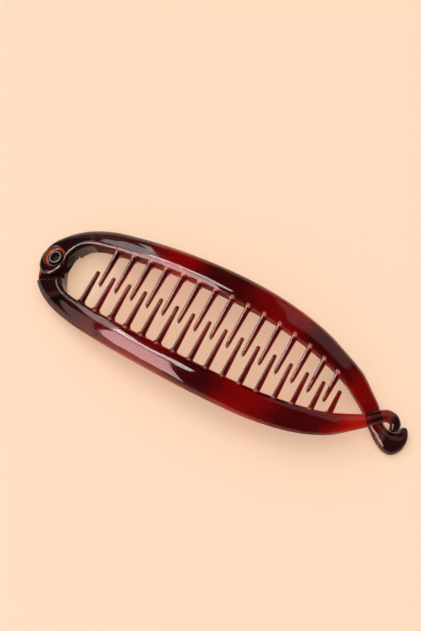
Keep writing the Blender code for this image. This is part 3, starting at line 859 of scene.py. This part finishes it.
def roughness_of(nodes, links, where, inside_edge, outside_edge):
    """Faint differences in gloss from handling, and the arms' matt walls."""
    gloss = noise(nodes, links, where, GLOSS_SCALE, GLOSS_DETAIL)
    rough = spread(nodes, links, gloss.outputs["Fac"], ROUGHNESS)
    facing = nodes.new("ShaderNodeSeparateXYZ")
    links.new(nodes.new("ShaderNodeNewGeometry").outputs["Normal"], facing.inputs[0])
    upward = chain(nodes, links, facing.outputs["Z"], ("ABSOLUTE", 0))
    matt = step_between(nodes, links, upward, *WALL_TILT, 0.0, WALL_ROUGHNESS)
    inner = within(nodes, links, inside_edge, *INNER_WALL)
    walls = joined(nodes, links, "MAXIMUM", inner, within(nodes, links, outside_edge, *OUTER_WALL))
    matt = joined(nodes, links, "MULTIPLY", matt, walls)
    return joined(nodes, links, "MAXIMUM", rough, matt)


def tortoiseshell(name, table, patches, seed):
    """Translucent red-brown plastic: crimson patches in near-black shell, glassy on top and slightly wavy."""
    made = bpy.data.materials.new(name)
    made.use_nodes = True
    nodes, links = made.node_tree.nodes, made.node_tree.links
    shader = nodes["Principled BSDF"]
    shader.inputs["IOR"].default_value = PLASTIC_IOR
    where = nodes.new("ShaderNodeTexCoord").outputs["Object"]
    axes = nodes.new("ShaderNodeSeparateXYZ")
    links.new(where, axes.inputs[0])
    x, y = axes.outputs["X"], axes.outputs["Y"]
    across = chain(nodes, links, y, ("SUBTRACT", SHIFT_Y * MM), ("ABSOLUTE", 0))
    inner = arm_edge(table, "s_in", "y_in", INNER_EDGE_S)
    outer = arm_edge(table, "s_out", "y_out", OUTER_EDGE_S)
    inside_edge = edge_distance(nodes, links, x, across, inner)
    outside_edge = edge_distance(nodes, links, x, across, outer)
    reach, level = hinge_reach(nodes, links, where)

    # The thin rim along the comb's opening is painted clearer, as a painted glow of the light coming through
    # it. Teeth are darker; hinge and clasp get painted shade.
    clear = patch_clearness(nodes, links, where, x, patches, seed)
    # Painted glow along the comb's opening.
    rim = fade(nodes, links, inside_edge, INNER_RIM_GLOW_EDGE, INNER_RIM_PAINTED_GLOW)
    clear = joined(nodes, links, "MAXIMUM", clear, rim)
    in_arm = fade(nodes, links, inside_edge, ARM_START, 1.0, TOOTH_CLEARNESS)
    clear = joined(nodes, links, "MULTIPLY", clear, in_arm)
    # Painted shade: the patches fade out at the clasp and the hinge, and there the shell is painted
    # near-black.
    for start, end in (CLASP_PAINTED_SHADE, HINGE_PAINTED_SHADE):
        clear = joined(nodes, links, "MULTIPLY", clear, fade(nodes, links, x, (end, start)))
    in_clasp_shade = fade(nodes, links, x, CLASP_PAINTED_SHADE)
    solid = joined(nodes, links, "MAXIMUM", in_clasp_shade, fade(nodes, links, reach, HINGE_PAINTED_SHADE_REACH))
    in_teeth = fade(nodes, links, inside_edge, TOOTH_START)
    shell = mixed(nodes, links, in_teeth, SHELL_DARK, SHELL_TOOTH)
    shell = mixed(nodes, links, solid, shell, SHELL_PAINTED_SHADE)
    body = mixed(nodes, links, clear, shell, SHELL_CLEAR)

    # Edges that glow with the light carried inside the plastic.
    if table is LOWER_ARM:
        glow = lower_glow(nodes, links, where, x, outside_edge, level)
        first_x, share = FIRST_UPPER_TOOTH_X + LOWER_ROW_SHIFT, LOWER_ROOT_GLOW
    else:
        glow = bore_glow(nodes, links, reach, level)
        first_x, share = FIRST_UPPER_TOOTH_X, UPPER_ROOT_GLOW
    roots = root_glow(nodes, links, x, inside_edge, first_x, share)
    glow = joined(nodes, links, "MAXIMUM", glow, roots)
    links.new(mixed(nodes, links, glow, body, SHELL_GLOW), shader.inputs["Base Color"])
    # Less light passes through the painted shade.
    through = step_between(nodes, links, solid, 0.0, 1.0, 1.0, PAINTED_SHADE_TRANSMISSION)
    share_through = step_between(nodes, links, glow, 0.0, FULL_GLOW, 1.0, GLOW_TRANSMISSION)
    through = joined(nodes, links, "MULTIPLY", through, share_through)
    links.new(through, shader.inputs["Transmission Weight"])
    links.new(wavy_normal(nodes, links, where), shader.inputs["Normal"])
    rough = roughness_of(nodes, links, where, inside_edge, outside_edge)
    links.new(rough, shader.inputs["Roughness"])
    inside = nodes.new("ShaderNodeVolumeAbsorption")
    inside.inputs["Color"].default_value = (*DYE_COLOUR, 1)
    inside.inputs["Density"].default_value = DYE_DENSITY
    links.new(inside.outputs["Volume"], nodes["Material Output"].inputs["Volume"])
    return made


def rivet_steel():
    """Worn steel on the rolled head, with near-black painted shade below it and in the bore."""
    made = bpy.data.materials.new("rivet_steel_fine")
    made.use_nodes = True
    nodes, links = made.node_tree.nodes, made.node_tree.links
    shader = nodes["Principled BSDF"]
    where = nodes.new("ShaderNodeTexCoord").outputs["Object"]
    level = hinge_reach(nodes, links, where)[1]
    # Painted shade below the rolled head and in the bore.
    ring = fade(nodes, links, level, [up - COUNTERBORE_DEPTH for up in BORE_SHADE_EDGE])
    links.new(mixed(nodes, links, ring, BORE_PAINTED_SHADE, STEEL), shader.inputs["Base Color"])
    wear = nodes.new("ShaderNodeTexNoise")
    wear.inputs["Scale"].default_value = STEEL_WEAR_SCALE
    rough = spread(nodes, links, wear.outputs["Fac"], STEEL_ROUGHNESS)
    links.new(rough, shader.inputs["Roughness"])
    return made


def make_floor():
    """Plain pale peach table that ends far outside the view."""
    bm = bmesh.new()
    size = TABLE_HALF_SIZE
    corners = [(-size, -size), (size, -size), (size, size), (-size, size)]
    bm.faces.new([bm.verts.new((x, y, 0.0)) for x, y in corners])
    floor = new_object("floor", bm)
    made = bpy.data.materials.new("table_paint")
    made.use_nodes = True
    shader = made.node_tree.nodes["Principled BSDF"]
    shader.inputs["Base Color"].default_value = (*TABLE_COLOUR, 1)
    shader.inputs["Roughness"].default_value = TABLE_ROUGHNESS
    floor.data.materials.append(made)


def sky_direction(east, north):
    """Unit vector at an angle from the zenith, given in degrees along +X and +Y."""
    angle = math.radians(math.hypot(east, north))
    turn = math.atan2(north, east)
    return Vector((math.sin(angle) * math.cos(turn), math.sin(angle) * math.sin(turn), math.cos(angle)))


def soft_panel(name, low, high, width, radiance, colour):
    """Large soft light that spans the sky from one direction to another, with a width in degrees."""
    start, end = sky_direction(*low), sky_direction(*high)
    back = (start + end).normalized()
    along = (end - start).normalized()
    data = bpy.data.lights.new(name, "AREA")
    data.shape = "RECTANGLE"
    data.size = 2 * PANEL_DISTANCE * math.tan(math.radians(width) / 2)
    data.size_y = 2 * PANEL_DISTANCE * math.tan(start.angle(end) / 2)
    data.energy = radiance * math.pi * data.size * data.size_y
    data.color = colour
    made = bpy.data.objects.new(name, data)
    side = along.cross(back)
    made.matrix_world = Matrix((
        (side.x, along.x, back.x, back.x * PANEL_DISTANCE),
        (side.y, along.y, back.y, back.y * PANEL_DISTANCE),
        (side.z, along.z, back.z, back.z * PANEL_DISTANCE),
        (0, 0, 0, 1),
    ))
    bpy.context.scene.collection.objects.link(made)
    return made


def make_lights():
    """Panels that the gloss mirrors, a soft key that throws the shadows, and an even room around them."""
    for name, low, high, width, radiance, colour in PANELS:
        soft_panel(name, low, high, width, radiance, colour).visible_diffuse = False
    soft_panel("key", *KEY).visible_glossy = False
    fill = soft_panel("fill", *FILL)
    fill.data.use_shadow = False
    fill.visible_glossy = False
    fill.visible_transmission = False
    backdrop = bpy.data.worlds.new("room")
    backdrop.use_nodes = True
    nodes, links = backdrop.node_tree.nodes, backdrop.node_tree.links
    sky = nodes["Background"]
    sky.inputs["Color"].default_value = (*ROOM_COLOUR, 1)
    ray = nodes.new("ShaderNodeLightPath")
    level = nodes.new("ShaderNodeMapRange")
    level.inputs["To Min"].default_value = ROOM_LIGHT
    level.inputs["To Max"].default_value = ROOM_GLOSS
    links.new(ray.outputs["Is Glossy Ray"], level.inputs["Value"])
    links.new(level.outputs["Result"], sky.inputs["Strength"])
    bpy.context.scene.world = backdrop
    bpy.context.scene.view_settings.view_transform = "Standard"


def make_camera():
    """Camera at the photograph's angle, with the image's long side across the sensor."""
    back = Vector((
        math.sin(CAMERA_TURN) * math.cos(CAMERA_ELEVATION),
        -math.cos(CAMERA_TURN) * math.cos(CAMERA_ELEVATION),
        math.sin(CAMERA_ELEVATION),
    ))
    right = Vector((math.cos(CAMERA_TURN), math.sin(CAMERA_TURN), 0.0))
    up = back.cross(right)
    spot = CAMERA_RIGHT * right - CAMERA_DOWN * up + CAMERA_DISTANCE * back
    spot = (spot + Vector((CAMERA_AIM_X + SHIFT_X, SHIFT_Y, CREST_HEIGHT))) * MM
    data = bpy.data.cameras.new("camera")
    data.sensor_width = SENSOR
    data.lens = CAMERA_FOCAL_PX * SENSOR / IMAGE_LONG_SIDE
    data.clip_start = CAMERA_NEAR * MM
    camera = bpy.data.objects.new("camera", data)
    bpy.context.scene.collection.objects.link(camera)
    camera.matrix_world = Matrix((
        (right.x, up.x, back.x, spot.x),
        (right.y, up.y, back.y, spot.y),
        (right.z, up.z, back.z, spot.z),
        (0, 0, 0, 1),
    ))
    bpy.context.scene.camera = camera


def dress(piece, node, body, material):
    """The piece takes the place of a CAD node, which it hides, rides on its body and takes the given
    material.
    """
    piece.data.materials.clear()
    piece.data.materials.append(material)
    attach(piece, body)
    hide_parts(node)


make_camera()
upper = make_upper()
lower = make_lower()
upper_shell = tortoiseshell("upper_shell", UPPER_ARM, UPPER_PATCHES, UPPER_SEED)
lower_shell = tortoiseshell("lower_shell", LOWER_ARM, LOWER_PATCHES, LOWER_SEED)
dress(upper, "upper_comb_half", "upper_half", upper_shell)
dress(lower, "lower_comb_half", "lower_half", lower_shell)
dress(make_rivet(), "hinge_rivet", "upper_half", rivet_steel())
make_floor()
make_lights()
